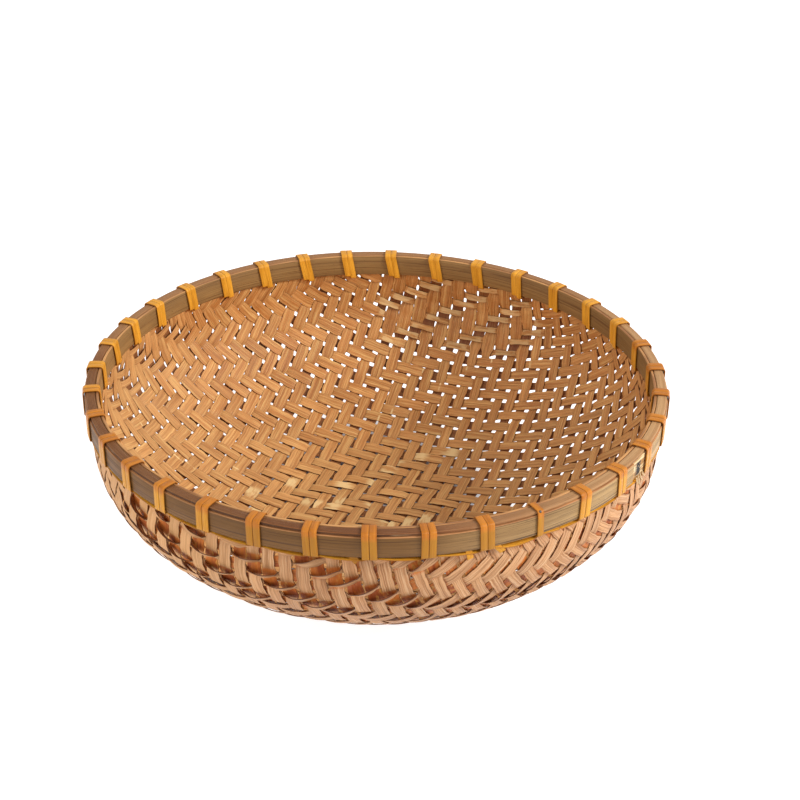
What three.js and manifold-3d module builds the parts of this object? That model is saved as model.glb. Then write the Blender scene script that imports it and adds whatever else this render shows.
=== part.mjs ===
// A shallow round bamboo basket: a woven bowl with its edge held between two bamboo hoops,
// a cover strip over the top, and lacing strips wound around the whole rim.
// Millimetres, +Z up. The origin is on the floor, at the middle of the bowl.
// Angles around the basket are counted from its front, -Y, and grow towards +X.
import * as THREE from 'three';
import { mergeVertices } from 'three/addons/utils/BufferGeometryUtils.js';
import Module from 'manifold-3d';

// Overall sizes
const overallDiameter = 300;
const overallHeight = 100;

// Left between pieces that touch on the real basket
const seatGap = 0.3;

// Woven bowl
const restRadius = 50;
const bulgeRadius = 147;
const bulgeHeight = 70;
const bowlRoundness = 1.7;
const matThickness = 1.8;
const leanHeight = 12;

// Hoops and cover strip
const outerHoopThickness = 3.3;
const innerHoopThickness = 1.4;
const hoopHeight = 10.4;
const hoopChamfer = 0.6;
const capThickness = 1.6;
const capInset = 0.7;
const capChamfer = 0.7;
const capCrown = 0.2;
const capJointGap = 0.8;
const innerHoopDrop = 0.2;
const featherShare = 0.27;
const outerLapAngle = 51;
const innerLapAngle = -101;
const capJointAngle = 157;

// Lacing
const bindingCount = 35;
const bindingsPerStrip = 7;
const turnsPerBinding = 2;
const singleTurnBinding = 20;
const stripWidth = 3.2;
const stripThickness = 0.6;
const turnGap = 0.6;
const crossingGap = 0.5;
const stripEndGap = 0.8;
const topBend = 1.5;
const bottomBend = 0.4;
const firstBindingAngle = -172.3;
const bindingDrift = 2.3;
const driftAngle = 35;
const slotClearance = 0.4;

// Facets
const ringSegments = 70;
const lapSegments = 3;
const curveSteps = 9;

// Spacing of the points on which a strip's gap to itself is measured
const measureSpacing = 0.5;

// Radii and heights that follow from the sizes
const hoopOuterRadius = overallDiameter / 2 - stripThickness - seatGap;
const seatRadius = hoopOuterRadius - outerHoopThickness - seatGap;
const innerHoopOuterRadius = seatRadius - matThickness - seatGap;
const innerHoopInnerRadius = innerHoopOuterRadius - innerHoopThickness;
const capTop = overallHeight - stripThickness - seatGap;
const hoopTop = capTop - capThickness - seatGap;
const hoopBottom = hoopTop - hoopHeight;
const innerHoopTop = capTop - innerHoopDrop;

// Lines that the lacing follows around the rim, at the middle of its thickness
const laceOuterRadius = hoopOuterRadius + seatGap + stripThickness / 2;
const laceInnerRadius = innerHoopInnerRadius - seatGap - stripThickness / 2;
const laceTop = capTop + seatGap + stripThickness / 2;
const laceBottom = hoopBottom - seatGap - stripThickness / 2;
const laceCrossing = laceBottom - stripThickness - crossingGap;
const turnPitch = stripWidth + turnGap;
const cornerRadius = stripWidth / 2 + seatGap;
const runRadius = laceOuterRadius - bottomBend - cornerRadius;

const radialAt = (angle) => new THREE.Vector3(Math.sin(angle), -Math.cos(angle), 0);
const alongAt = (angle) => new THREE.Vector3(Math.cos(angle), Math.sin(angle), 0);
const up = new THREE.Vector3(0, 0, 1);
const down = new THREE.Vector3(0, 0, -1);
const pointAt = (radius, angle, z) => radialAt(angle).multiplyScalar(radius).setZ(z);

// One closed strip through a row of sections, each a loop of as many points
function loftSections(sections) {
  const sides = sections[0].length;
  const positions = [];
  const indices = [];
  for (const section of sections) {
    for (const point of section) positions.push(point.x, point.y, point.z);
  }
  for (let row = 0; row < sections.length - 1; row += 1) {
    for (let side = 0; side < sides; side += 1) {
      const next = (side + 1) % sides;
      const a = row * sides + side;
      const b = row * sides + next;
      indices.push(a, b, a + sides);
      indices.push(b, b + sides, a + sides);
    }
  }
  const last = (sections.length - 1) * sides;
  for (let side = 1; side < sides - 1; side += 1) {
    indices.push(0, side + 1, side);
    indices.push(last, last + side, last + side + 1);
  }
  const geometry = new THREE.BufferGeometry();
  geometry.setAttribute('position', new THREE.Float32BufferAttribute(positions, 3));
  geometry.setIndex(indices);
  return geometry;
}

// A bamboo strip bent round the basket. sectionAt gives its outline as [radius, height] pairs,
// listed anticlockwise with the radius to the right and the height upwards.
function bentStrip(angles, sectionAt) {
  const sections = angles.map((angle, index) => (
    sectionAt(index).map(([radius, z]) => pointAt(radius, angle, z)).reverse()
  ));
  return loftSections(sections);
}

// The share of the lap that lies behind a station, or null outside the lap
function lapShare(station) {
  if (station <= lapSegments) return { end: 'first', share: station / lapSegments };
  if (station >= ringSegments) {
    return { end: 'last', share: (station - ringSegments) / lapSegments };
  }
  return null;
}

// A hoop is one strip whose two ends taper and lap over each other
function lappedHoop(innerRadius, thickness, top, lapStart) {
  const outerRadius = innerRadius + thickness;
  const feather = thickness * featherShare;
  const taper = thickness - 2 * feather - seatGap;
  const step = (2 * Math.PI) / ringSegments;
  const start = THREE.MathUtils.degToRad(lapStart);
  const angles = [];
  for (let station = 0; station <= ringSegments + lapSegments; station += 1) {
    angles.push(start + station * step);
  }
  return bentStrip(angles, (station) => {
    let inner = innerRadius;
    let outer = outerRadius;
    const lap = lapShare(station);
    if (lap) {
      const scarf = innerRadius + feather + taper * lap.share;
      if (lap.end === 'first') outer = scarf;
      if (lap.end === 'last') inner = scarf + seatGap;
    }
    const chamfer = Math.min(hoopChamfer, (outer - inner) / 3);
    return [
      [inner + chamfer, hoopBottom],
      [outer - chamfer, hoopBottom],
      [outer, hoopBottom + chamfer],
      [outer, top - chamfer],
      [outer - chamfer, top],
      [inner + chamfer, top],
      [inner, top - chamfer],
      [inner, hoopBottom + chamfer],
    ];
  });
}

// The cover strip lies on the outer hoop and the mat's edge, beside the higher inner hoop.
// Its ends butt under a lacing.
function coverStrip() {
  const inner = innerHoopOuterRadius + seatGap;
  const outer = hoopOuterRadius - capInset;
  const bottom = capTop - capThickness;
  const shoulder = capTop - capCrown;
  const joint = THREE.MathUtils.degToRad(capJointAngle);
  const gapAngle = capJointGap / outer;
  const angles = [];
  for (let station = 0; station <= ringSegments; station += 1) {
    angles.push(joint + gapAngle / 2 + (station / ringSegments) * (2 * Math.PI - gapAngle));
  }
  const section = [
    [inner, bottom],
    [outer, bottom],
    [outer, shoulder - capChamfer],
    [outer - capChamfer, shoulder],
    [(inner + outer) / 2, capTop],
    [inner + capChamfer, shoulder],
    [inner, shoulder - capChamfer],
  ];
  return bentStrip(angles, () => section);
}

// Outside line of the bowl, from the middle of its floor to its edge between the hoops
function bowlOutline() {
  const points = [new THREE.Vector2(0, 0), new THREE.Vector2(restRadius, 0)];
  const power = 2 / bowlRoundness;
  for (let step = 1; step <= curveSteps; step += 1) {
    const angle = (step / curveSteps) * (Math.PI / 2);
    const radius = restRadius + (bulgeRadius - restRadius) * Math.sin(angle) ** power;
    const height = bulgeHeight * (1 - Math.max(Math.cos(angle), 0) ** power);
    points.push(new THREE.Vector2(radius, height));
  }
  const leanTop = laceCrossing - stripThickness / 2 - slotClearance - seatGap;
  points.push(new THREE.Vector2((bulgeRadius + seatRadius) / 2, leanTop - leanHeight / 3));
  points.push(new THREE.Vector2(seatRadius, leanTop));
  points.push(new THREE.Vector2(seatRadius, hoopTop));
  return points;
}

// The same line moved inwards by the mat's thickness, from the edge back to the middle
function insetOutline(outline) {
  const inset = outline.map((point, index) => {
    const before = outline[Math.max(index - 1, 0)];
    const after = outline[Math.min(index + 1, outline.length - 1)];
    const along = after.clone().sub(before).normalize();
    return new THREE.Vector2(point.x - along.y * matThickness, point.y + along.x * matThickness);
  });
  const edge = outline[outline.length - 1];
  inset[0].set(0, matThickness);
  inset[inset.length - 2].x = seatRadius - matThickness;
  inset[inset.length - 1].set(seatRadius - matThickness, edge.y);
  return inset.reverse();
}

// Merged copy of a geometry without its collapsed triangles
function closedMesh(geometry) {
  const bare = new THREE.BufferGeometry();
  bare.setAttribute('position', geometry.getAttribute('position'));
  bare.setIndex(geometry.getIndex());
  const merged = mergeVertices(bare, 1e-4);
  const source = merged.getIndex().array;
  const kept = [];
  for (let corner = 0; corner < source.length; corner += 3) {
    const [a, b, c] = [source[corner], source[corner + 1], source[corner + 2]];
    if (a !== b && b !== c && c !== a) kept.push(a, b, c);
  }
  merged.setIndex(kept);
  return merged;
}

const wasm = await Module();
wasm.setup();

function toSolid(geometry) {
  const mesh = closedMesh(geometry);
  return new wasm.Manifold(new wasm.Mesh({
    numProp: 3,
    vertProperties: Float32Array.from(mesh.getAttribute('position').array),
    triVerts: Uint32Array.from(mesh.getIndex().array),
  }));
}

function toGeometry(solid) {
  const mesh = solid.getMesh();
  const geometry = new THREE.BufferGeometry();
  geometry.setAttribute('position', new THREE.BufferAttribute(mesh.vertProperties, 3));
  geometry.setIndex(new THREE.BufferAttribute(mesh.triVerts, 1));
  return geometry;
}

// Angle of a lacing's middle. They are set out by eye, closer together towards one side.
function bindingAngle(index) {
  const even = firstBindingAngle + (index * 360) / bindingCount;
  const drift = bindingDrift * (1 + Math.cos(THREE.MathUtils.degToRad(even - driftAngle)));
  return THREE.MathUtils.degToRad(even - drift);
}

function turnsAt(index) {
  return index === singleTurnBinding ? 1 : turnsPerBinding;
}

// How far a turn stands beside the middle of its lacing, as an angle
function turnOffset(turn, turns) {
  return ((turn - (turns - 1) / 2) * turnPitch) / hoopOuterRadius;
}

// The woven bowl, with an opening under the hoops where each lacing passes through the weave
function wovenMat() {
  const outline = bowlOutline();
  const bowl = new THREE.LatheGeometry([...outline, ...insetOutline(outline)], ringSegments);
  bowl.rotateX(Math.PI / 2);
  bowl.rotateZ(THREE.MathUtils.degToRad(outerLapAngle));
  let solid = toSolid(bowl);
  const slotBottom = laceCrossing - stripThickness / 2 - slotClearance;
  const slotTop = laceBottom + stripThickness / 2 + slotClearance;
  const slotRadius = seatRadius - matThickness / 2;
  for (let index = 0; index < bindingCount; index += 1) {
    const width = (turnsAt(index) - 1) * turnPitch + stripWidth + 2 * slotClearance;
    const slot = new THREE.BoxGeometry(width, matThickness * 3, slotTop - slotBottom);
    slot.rotateZ(bindingAngle(index));
    slot.translate(...pointAt(slotRadius, bindingAngle(index), (slotTop + slotBottom) / 2));
    solid = solid.subtract(toSolid(slot));
  }
  return toGeometry(solid);
}

// A quarter bend of the lacing between two of its straight lines, seen in the rim's section
function bendStations(angle, centre, radius, from, to, steps) {
  const stations = [];
  for (let step = 0; step <= steps; step += 1) {
    const turn = from + (to - from) * (step / steps);
    const outwards = radialAt(angle).multiplyScalar(Math.cos(turn));
    outwards.addScaledVector(up, Math.sin(turn));
    const middle = pointAt(centre[0], angle, centre[1]).addScaledVector(outwards, radius);
    stations.push({ middle, side: alongAt(angle), outwards });
  }
  return stations;
}

// One turn: up the inner hoop, over the cover strip, down the outer hoop and in under it
function turnStations(angle, startHeight) {
  const half = Math.PI / 2;
  const innerTop = [laceInnerRadius + topBend, laceTop - topBend];
  const outerTop = [laceOuterRadius - topBend, laceTop - topBend];
  const innerFoot = [laceInnerRadius + bottomBend, startHeight + bottomBend];
  const outerFoot = [laceOuterRadius - bottomBend, laceBottom + bottomBend];
  return [
    ...bendStations(angle, innerFoot, bottomBend, 3 * half, 2 * half, 1),
    ...bendStations(angle, innerTop, topBend, 2 * half, half, 2),
    ...bendStations(angle, outerTop, topBend, half, 0, 2),
    ...bendStations(angle, outerFoot, bottomBend, 0, -half, 1),
  ];
}

// Flat stretch under the hoops, with the strip's side across its way
function flatStation(radius, angle, z, side) {
  return { middle: pointAt(radius, angle, z), side, outwards: down.clone() };
}

// The strip swings from its way under the outer hoop to its way in under the rim
function swingIn(angle) {
  const stations = [];
  for (let step = 0; step <= 2; step += 1) {
    const turn = (step / 2) * (Math.PI / 2);
    const back = (cornerRadius * (1 - Math.sin(turn))) / runRadius;
    const radius = runRadius - cornerRadius * (1 - Math.cos(turn));
    const side = alongAt(angle).multiplyScalar(Math.sin(turn));
    side.addScaledVector(radialAt(angle), Math.cos(turn));
    stations.push(flatStation(radius, angle - back, laceCrossing, side));
  }
  return stations;
}

// The strip swings from its way in to its way along under the outer hoop
function swingOut(angle) {
  const stations = [];
  for (let step = 1; step <= 2; step += 1) {
    const turn = (step / 2) * (Math.PI / 2);
    const ahead = (cornerRadius * (1 - Math.cos(turn))) / runRadius;
    const radius = runRadius + cornerRadius * (1 - Math.sin(turn));
    const side = alongAt(angle).multiplyScalar(Math.cos(turn));
    side.addScaledVector(radialAt(angle), Math.sin(turn));
    stations.push(flatStation(radius, angle + ahead, laceBottom, side));
  }
  return stations;
}

// Angles at which a lacing begins and ends its way along under the hoop
function runEnds(index) {
  const turns = turnsAt(index);
  const reach = cornerRadius / runRadius;
  return {
    arrives: bindingAngle(index) + turnOffset(0, turns) - reach,
    leaves: bindingAngle(index) + turnOffset(turns - 1, turns) + reach,
  };
}

// Angle between one lacing's end and the next one's beginning
function runAngle(index) {
  const fullTurn = index + 1 === bindingCount ? 2 * Math.PI : 0;
  return runEnds((index + 1) % bindingCount).arrives + fullTurn - runEnds(index).leaves;
}

// The strip between two lacings, sinking as far as the next one's crossing.
// share runs from 0, where it leaves the first lacing, to 1, where it reaches the second.
function runStation(index, share) {
  const angle = runEnds(index).leaves + runAngle(index) * share;
  const z = laceBottom + (laceCrossing - laceBottom) * share;
  return flatStation(runRadius, angle, z, radialAt(angle));
}

// Share of the stretch between two lacings that half of the gap between two strips takes
function endShare(index) {
  return stripEndGap / 2 / (runAngle(index) * runRadius);
}

// Between two turns the strip crosses under the rim, and slants only past the outer hoop
function crossingStation(angle) {
  return flatStation(seatRadius, angle, laceBottom, alongAt(angle));
}

// One lacing strip: a run of lacings, each of one or two turns, with the stretches between them
function lacingStations(first) {
  const before = (first + bindingCount - 1) % bindingCount;
  const stations = [
    runStation(before, 0.5 + endShare(before)),
    runStation(before, 0.75),
  ];
  for (let index = first; index < first + bindingsPerStrip; index += 1) {
    const turns = turnsAt(index);
    const angles = Array.from({ length: turns }, (_, turn) => (
      bindingAngle(index) + turnOffset(turn, turns)
    ));
    stations.push(...swingIn(angles[0]));
    angles.forEach((angle, turn) => {
      if (turn > 0) stations.push(crossingStation(angles[turn - 1]));
      stations.push(...turnStations(angle, turn === 0 ? laceCrossing : laceBottom));
    });
    stations.push(...swingOut(angles[turns - 1]));
    if (index < first + bindingsPerStrip - 1) stations.push(runStation(index, 0.5));
  }
  const last = first + bindingsPerStrip - 1;
  stations.push(runStation(last, 0.25));
  stations.push(runStation(last, 0.5 - endShare(last)));
  return stations;
}

// Corners of the flat strip at a station
function stripSection({ middle, side, outwards }) {
  const halfSide = side.clone().multiplyScalar(stripWidth / 2);
  const halfOut = outwards.clone().multiplyScalar(stripThickness / 2);
  return [
    middle.clone().sub(halfSide).sub(halfOut),
    middle.clone().add(halfSide).sub(halfOut),
    middle.clone().add(halfSide).add(halfOut),
    middle.clone().sub(halfSide).add(halfOut),
  ];
}

// Points all over a strip's faces, each with the length of strip that lies behind it
function surfacePoints(sections) {
  const points = [];
  let travelled = 0;
  for (let row = 0; row < sections.length - 1; row += 1) {
    const length = sections[row][0].distanceTo(sections[row + 1][0]);
    const steps = Math.max(1, Math.ceil(length / measureSpacing));
    for (let step = 0; step < steps; step += 1) {
      const section = sections[row].map((corner, side) => (
        corner.clone().lerp(sections[row + 1][side], step / steps)
      ));
      section.forEach((corner, side) => {
        const edge = section[(side + 1) % section.length];
        const parts = Math.max(1, Math.ceil(corner.distanceTo(edge) / measureSpacing));
        for (let part = 0; part < parts; part += 1) {
          const at = corner.clone().lerp(edge, part / parts);
          points.push({ at, travelled: travelled + (length * step) / steps });
        }
      });
    }
    travelled += length;
  }
  return points;
}

// Least gap between parts of a strip that lie well apart along it, measured on points
function leastGapToItself(sections) {
  const apartAlong = 4 * stripWidth;
  const cells = new Map();
  const steps = [-1, 0, 1];
  let least = Infinity;
  for (const point of surfacePoints(sections)) {
    const [x, y, z] = point.at.toArray().map((value) => Math.floor(value / stripWidth));
    const nearby = steps.flatMap((dx) => steps.flatMap((dy) => steps.flatMap((dz) => (
      cells.get(`${x + dx},${y + dy},${z + dz}`) ?? []
    ))));
    for (const other of nearby) {
      if (point.travelled - other.travelled < apartAlong) continue;
      least = Math.min(least, point.at.distanceTo(other.at));
    }
    const key = `${x},${y},${z}`;
    if (!cells.has(key)) cells.set(key, []);
    cells.get(key).push(point);
  }
  return least;
}

const wovenBamboo = new THREE.MeshStandardMaterial({ color: 0xcb9154, roughness: 0.6, metalness: 0 });
const hoopBamboo = new THREE.MeshStandardMaterial({ color: 0x947a55, roughness: 0.5, metalness: 0 });
const laceBamboo = new THREE.MeshStandardMaterial({ color: 0xe2a33b, roughness: 0.4, metalness: 0 });

function namedMesh(name, geometry, material) {
  const mesh = new THREE.Mesh(geometry, material);
  mesh.name = name;
  return mesh;
}

const basket = new THREE.Group();
basket.add(namedMesh('woven_mat', wovenMat(), wovenBamboo));

const rim = new THREE.Group();
const outerHoop = lappedHoop(
  hoopOuterRadius - outerHoopThickness, outerHoopThickness, hoopTop, outerLapAngle,
);
const innerHoop = lappedHoop(
  innerHoopInnerRadius, innerHoopThickness, innerHoopTop, innerLapAngle,
);
rim.add(namedMesh('outer_hoop', outerHoop, hoopBamboo));
rim.add(namedMesh('inner_hoop', innerHoop, hoopBamboo));
rim.add(namedMesh('rim_cap', coverStrip(), hoopBamboo));
for (let strip = 0; strip * bindingsPerStrip < bindingCount; strip += 1) {
  const sections = lacingStations(strip * bindingsPerStrip).map(stripSection);
  const name = `lacing_strip_${strip + 1}`;
  rim.add(namedMesh(name, loftSections(sections), laceBamboo));
  console.log(`${name}: least gap to itself ${leastGapToItself(sections).toFixed(2)} mm`);
}
basket.add(rim);

export default basket;
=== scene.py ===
"""A shallow round bamboo basket: a twill-woven bowl in a laced bamboo rim.

Sizes in the constants are millimetres, angles are degrees counted from the front towards +X.
"""
import math

import bmesh
import bpy
import numpy as np
from mathutils import Matrix, Vector


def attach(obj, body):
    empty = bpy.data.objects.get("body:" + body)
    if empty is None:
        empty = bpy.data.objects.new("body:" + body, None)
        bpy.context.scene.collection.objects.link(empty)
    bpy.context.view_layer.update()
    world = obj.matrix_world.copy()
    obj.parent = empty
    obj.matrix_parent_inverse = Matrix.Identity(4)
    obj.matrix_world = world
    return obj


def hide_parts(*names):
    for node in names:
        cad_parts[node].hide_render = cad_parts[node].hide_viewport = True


MM = 0.001
TINY = 1e-6

# All strips: faces that meet at more than this angle keep a sharp edge
CREASE_ANGLE = 38.0

# Outline of the bowl, along the middle of the mat
REST_RADIUS = 50.0
BULGE_RADIUS = 147.0
BULGE_HEIGHT = 70.0
BOWL_ROUNDNESS = 1.7
MAT_THICKNESS = 1.8
SEAT_RADIUS = 145.5
LEAN_START = 80.1
LEAN_TOP = 84.1
WALL_TOP = 97.2
SPLINT_END_HEIGHT = 96.3
CURVE_STEPS = 400
OUTLINE_STEPS = 800
OUTLINE_SMOOTHING = 27

# Splints. Steep ones run from front to back, flat ones from side to side.
SPLINT_REACH = 27
SPLINT_WIDTH = 6.3
SPLINT_THICKNESS = 0.42
SPLINT_EDGE = 0.16
SPLINT_VARIATION = 0.05
STATIONS_PER_CROSSING = 5
WANDER = 0.05
WANDER_WAVES = (0.31, 0.83)
SECOND_WAVE = 0.6
WAIST = 0.06
END_CUT = 1.2
LIFT_RANGE = (0.72, 1.0)
STEEP_SEED = 11
FLAT_SEED = 12

# Weave. The lattice says where splint i crosses splint j when the bowl is rolled out flat:
# millimetres to the right and to the back for every twenty splints, and after them four
# cubic terms that bend the rows. All are a least-squares fit to the holes of the weave.
LATTICE_RIGHT = (144.42, 55.39, 0.19, -2.83, 18.17, -0.33)
LATTICE_BACK = (-44.08, 142.50, -1.67, -10.59, -18.95, -5.21)
LATTICE_STEP = 20.0
STEEP_OFFSET = 0.12
FLAT_OFFSET = 0.5
STEEP_PHASE = -1.0
FLAT_PHASE = -0.38
LAYER_OFFSET = 0.43
LAYER_SHARPNESS = 3.0

# Share of the room between its neighbours that a splint fills, and what changes it
PITCH_FILL = 0.94
OPEN_SIDE_LOSS = 0.14
CROWDED_GAIN = 0.06
LEFT_SIDE_LOSS = 0.03
OPEN_SIDE_SLIMMING = 0.1
LEFT_SIDE_WIDENING = 0.1
POCKET_FILL = 0.92
SHELF_FILL = 1.08
WIDEST_PRESSED = 1.4

# Where that share changes: over which places to the right and to the back, and over which
# lengths from the middle, on the rolled-out bowl
OPEN_SIDE_RIGHT = (20.0, 90.0)
OPEN_SIDE_BACK = (-110.0, -20.0)
LEFT_SIDE = (20.0, 80.0)
CROWDED_LENGTHS = (110.0, 140.0)
CROWDED_FRONT = (-60.0, 40.0)
BEHIND_LENGTHS = (146.0, 164.0)
BEHIND_BACK = (60.0, 110.0)

# Pale marks on the splints near the middle, and painted light on the shelves, which face up
MARK_REACH = 0.9
MARK_SPREAD = 9.0
MARKED_SPLINTS = 11
SHELF_PAINTED_LIGHT = 0.6

# Where floats along the rim spring off the wall: azimuths, and lengths on the rolled-out
# bowl over which it sets in. Pockets are outside in front, shelves inside behind. Further
# to the left than POCKET_RISE_FROM, pockets set in higher up with each degree.
POCKET_AZIMUTHS = (-50.0, 6.0)
POCKET_LENGTHS = (149.0, 157.0)
POCKET_RISE = 0.7
POCKET_RISE_FROM = 28.0
SHELF_AZIMUTHS = (143.0, 176.0)
SHELF_LENGTHS = (146.0, 155.0)
LEFT_AZIMUTHS = (-128.0, -100.0)
LEFT_LENGTHS = (156.0, 166.0)
ZONE_FADE = 8.0
WALL_LENGTHS = (146.0, 155.0)

# The same for other floats outside, with the fade of each
NARROW_AZIMUTHS = (12.0, 64.0, 12.0)
NARROW_LENGTHS = (140.0, 154.0, 9.0)
OUTSIDE_LENGTHS = (118.0, 160.0, 14.0)
RIGHT_AZIMUTHS = (12.0, 80.0, 14.0)
SLIM_LENGTHS = (118.0, 140.0)

# Only splints that run more along the rim than up to it spring off. Their level is 1 along
# the rim, and 0 straight up to it.
POCKET_LEVELS = (0.55, 0.85)
OUTSIDE_LEVELS = (0.35, 0.75)
INSIDE_LEVELS = (0.6, 0.9)

# Near its ends a splint is held down by the rim: lengths before the end
LOOSE_BEFORE_END = 19.0
HELD_BEFORE_END = 11.5

# How they spring: shares of the sag that their spare length allows, degrees that they
# turn by, and the share of their width that they lack
FLOAT_LENGTH = 16.0
MOST_SPARE_LENGTH = 0.3
INSIDE_RISE = 0.7
OUTSIDE_RISE = 1.2
FLOOR_ARCH = 0.1
POCKET_BOW = 0.62
NARROW_BOW = 0.4
OUTSIDE_BOW = 0.24
SHELF_BOW = 0.14
LEFT_BOW = 0.16
INSIDE_BOW = 0.05
FLARE_ANGLE = 45.0
SHELF_TURN = 35.0
LEFT_TURN = 10.0
INSIDE_SLIMNESS = 0.45
OUTSIDE_SLIMNESS = 0.11
RIGHT_SLIMNESS = 0.09
POCKET_SLIMNESS = 0.14
POCKET_END_SLIMNESS = 0.4
POCKET_END_REACH = 0.4

# Rim. Laps and the joint of the cover strip are angles round the basket.
HOOP_OUTER_RADIUS = 149.1
OUTER_HOOP_THICKNESS = 3.3
OUTER_HOOP_EDGE = 0.5
OUTER_LAP = (42.0, 62.0)
OUTER_TIP = 54.5
INNER_HOOP_OUTER_RADIUS = 143.4
INNER_HOOP_THICKNESS = 1.4
INNER_HOOP_EDGE = 0.45
INNER_LAP = (-101.0, -85.6)
INNER_TIP = -85.6
LAP_TAPER = 0.7
LAP_SHAVING = 0.1
HOOP_BOTTOM = 86.8
OUTER_HOOP_TOP = 97.4
INNER_HOOP_TOP = 98.9
CAP_INNER_RADIUS = 143.7
CAP_OUTER_RADIUS = 148.4
CAP_TOP = 99.1
CAP_THICKNESS = 1.6
CAP_EDGE = 0.6
CAP_START = 157.15
CAP_SPAN = 359.7
RIM_STATIONS = 720
RIM_SIDES = 16

# Wear and painted light and shade of the rim, darker at the front left and paler at the right:
# angles between which each is seen, and over which it fades.
# The shaved end, the painted shadow in the hole and the fibres below it are counted from the tip
# of the lap.
PALE_RIM = (52.0, 105.0, 30.0)
DARK_RIM = (-80.0, -4.0, 28.0)
SHAVED_END = (0.0, 6.0, 0.6)
LAP_HOLE_SHADOW = (1.8, 3.0, 0.6)
# Angles of the split in the inner hoop, painted as dark shadow
INNER_SPLIT_SHADOW = (266.6, 268.8, 0.9)
HOOP_TONE = 0.3
CAP_TONE = 0.6
FIBRE_BREADTH = 0.09
FIBRE_BODY = 0.12
FIBRE_STATIONS = 6
FIBRE_START = 1.0
FIBRE_STAND = 0.1
FIBRE_SPREAD = 0.5

# Each fibre's angle past the tip, reach below the hoop and lean to the side
LAP_FIBRES = ((1.5, 2.6, 0.5), (2.3, 4.4, 1.1), (3.1, 3.4, 2.0), (4.0, 2.4, 2.6))

# Lacing
BINDING_COUNT = 35
BINDINGS_PER_STRIP = 7
SINGLE_TURN_BINDING = 20
STRIP_WIDTH = 3.38
STRIP_THICKNESS = 0.6
STRIP_EDGE = 0.2
STRIP_SIDES = 12
TURN_PITCH = 3.5
FIRST_BINDING_ANGLE = -172.3
BINDING_DRIFT = 2.0
DRIFT_ANGLE = 35.0
LACE_OUTER_RADIUS = 149.7
LACE_INNER_RADIUS = 141.4
LACE_TOP = 99.7
LACE_BOTTOM = 86.2
LACE_CROSSING = 85.1
LACE_CROWN = 0.05
LACE_HOLLOW = 0.08
STRIP_END_GAP = 0.8
STRIP_SAG = 0.35
LOOSE_SAG = 1.5
RUN_START = 0.07
RUN_END = 0.93
RUN_STATIONS = 9
HALF_RUN_STATIONS = 7
TOP_BEND = 1.5
BOTTOM_BEND = 0.4
TOP_STEPS = 5
BOTTOM_STEPS = 3
UP_START = 1.0
UP_SHARES = (0.3, 0.65)
DOWN_SHARES = (0.35, 0.7)
CORNER_RADIUS = 1.9
CORNER_STEPS = 4
RUN_RADIUS = LACE_OUTER_RADIUS - BOTTOM_BEND - CORNER_RADIUS
UNDERSIDE_REACH = 3.0
UNDERSIDE_TURN = 0.12
INNER_SKEW = 0.7
SKEW_SPREAD = 0.35
LEAN_RANGE = (-0.2, 0.25)
LACING_SEED = 40
# Angles round the basket with their fade: over the first the tops of the lacing are worn and the
# legs get a little painted shade, over the second, in front, the legs get more painted shade
WORN_AND_SHADED_LACING = (-72.0, 98.0, 18.0)
SHADED_FRONT_LACING = (-20.0, 26.0, 16.0)

# Loose ends of the lacing: where they start above the lower edge of the hoop, how far
# they lie behind the lacing and swing out, and for each its angle, reach below the hoop,
# slant, twist, and soiling with painted shade
LOOSE_START = 1.5
LOOSE_DEPTH = 2.6
LOOSE_SWING = 1.4
LOOSE_BREADTH = 0.95
LOOSE_SHADE = 0.4
LOOSE_STATIONS = 6
LOOSE_ENDS = (
    (16.0, 4.6, 1.2, 0.2, 0.3), (20.6, 4.0, 5.0, -0.5, 0.3), (-4.6, 2.6, 4.0, 0.3, 1.5),
)

# Nail through the single turn
PIN_ANGLE = 29.3
PIN_RADIUS = 0.8
PIN_HEIGHT = 0.7
PIN_TAPER = 0.7
PIN_DEPTH = 0.35
PIN_SEGMENTS = 16

# Camera, as fitted to the ellipse of the rim in a square picture
PICTURE_SIZE = 800.0
FOCAL_PIXELS = 1547.0
SENSOR_WIDTH = 36.0
CAMERA_DISTANCE = 799.8
CAMERA_ELEVATION = 28.64
CAMERA_ROLL = 0.521
RIM_CENTRE_PIXEL = (377.17, 368.45)
RIM_CENTRE_HEIGHT = 100.0

# Lamps: name, place and size in metres, power, colour. They aim at a height in metres.
LAMPS = (
    ("key", (1.6, -0.5, 1.15), 0.7, 30.0, (1.0, 0.98, 0.95)),
    ("fill", (-1.15, -0.8, 0.42), 0.9, 5.5, (1.0, 0.97, 0.93)),
)
LAMP_AIM_HEIGHT = 0.05
WORLD_STRENGTH = 0.72

# Floor: its reach in metres, and the painted shade on it, which stays under the bowl
FLOOR_REACH = 6.0
SHADE_CENTRE = (-8.0, 25.0)
SHADE_STRETCH = (0.85, 1.15)
SHADE_RADIUS = 56.0
CLEAR_RADIUS = 97.0
FLOOR_GLOW = 0.85


def tint(code):
    """Linear colour of a hex code."""
    parts = [int(code[start:start + 2], 16) / 255 for start in (1, 3, 5)]
    linear = [
        part / 12.92 if part <= 0.04045 else ((part + 0.055) / 1.055) ** 2.4
        for part in parts
    ]
    return (*linear, 1.0)


def smooth_step(value, low, high):
    share = np.clip((value - low) / (high - low), 0.0, 1.0)
    return share * share * (3.0 - 2.0 * share)


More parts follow.
